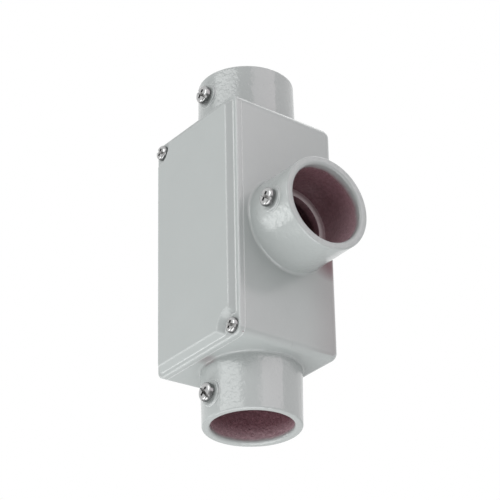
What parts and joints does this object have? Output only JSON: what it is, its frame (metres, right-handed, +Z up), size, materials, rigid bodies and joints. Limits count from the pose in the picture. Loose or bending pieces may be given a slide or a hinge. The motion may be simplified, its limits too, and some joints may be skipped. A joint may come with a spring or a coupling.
{
  "type": "conduit body",
  "caption": "T-shaped conduit body with slip-in hubs at both ends and one side, set screws and a screwed front cover over a wiring chamber.",
  "frame": {"origin": "centre of the bottom hub's bore where its rounded lip ends, 1.4 mm inside the mouth, on the axis of the straight run", "axes": "+Z up along the straight run, -Y out of the cover, +X out of the side hub"},
  "size_m": [0.0813, 0.0538, 0.1582],
  "materials": {
    "body": "gloss paint with a fine orange peel, dark red primer inside",
    "cover": "gloss paint with a fine orange peel",
    "gasket": "matte",
    "screw": "bright zinc plate"
  },
  "bodies": {
    "housing": {"body_casting": "body", "cover_gasket": "gasket"},
    "lid": {"cover": "cover"},
    "lid_screw_lower": {"cover_screw_lower": "screw"},
    "lid_screw_upper": {"cover_screw_upper": "screw"},
    "clamp_screw_bottom": {"set_screw_bottom": "screw"},
    "clamp_screw_top": {"set_screw_top": "screw"},
    "clamp_screw_side": {"set_screw_side": "screw"}
  },
  "joints": [
    {"name": "cover_lift", "type": "slide", "parent": "housing", "child": "lid", "axis": [0, -1, 0], "range_m": [0, 0.03]},
    {"name": "cover_screw_lower_travel", "type": "slide", "parent": "lid", "child": "lid_screw_lower", "axis": [0, -1, 0], "range_m": [0, 0.0094]},
    {"name": "cover_screw_upper_travel", "type": "slide", "parent": "lid", "child": "lid_screw_upper", "axis": [0, -1, 0], "range_m": [0, 0.0094]},
    {"name": "set_screw_bottom_travel", "type": "slide", "parent": "housing", "child": "clamp_screw_bottom", "axis": [0, -1, 0], "range_m": [-0.00085, 0.0035]},
    {"name": "set_screw_top_travel", "type": "slide", "parent": "housing", "child": "clamp_screw_top", "axis": [0, -1, 0], "range_m": [-0.00085, 0.0035]},
    {"name": "set_screw_side_travel", "type": "slide", "parent": "housing", "child": "clamp_screw_side", "axis": [0, -1, 0], "range_m": [-0.00085, 0.0035]}
  ]
}
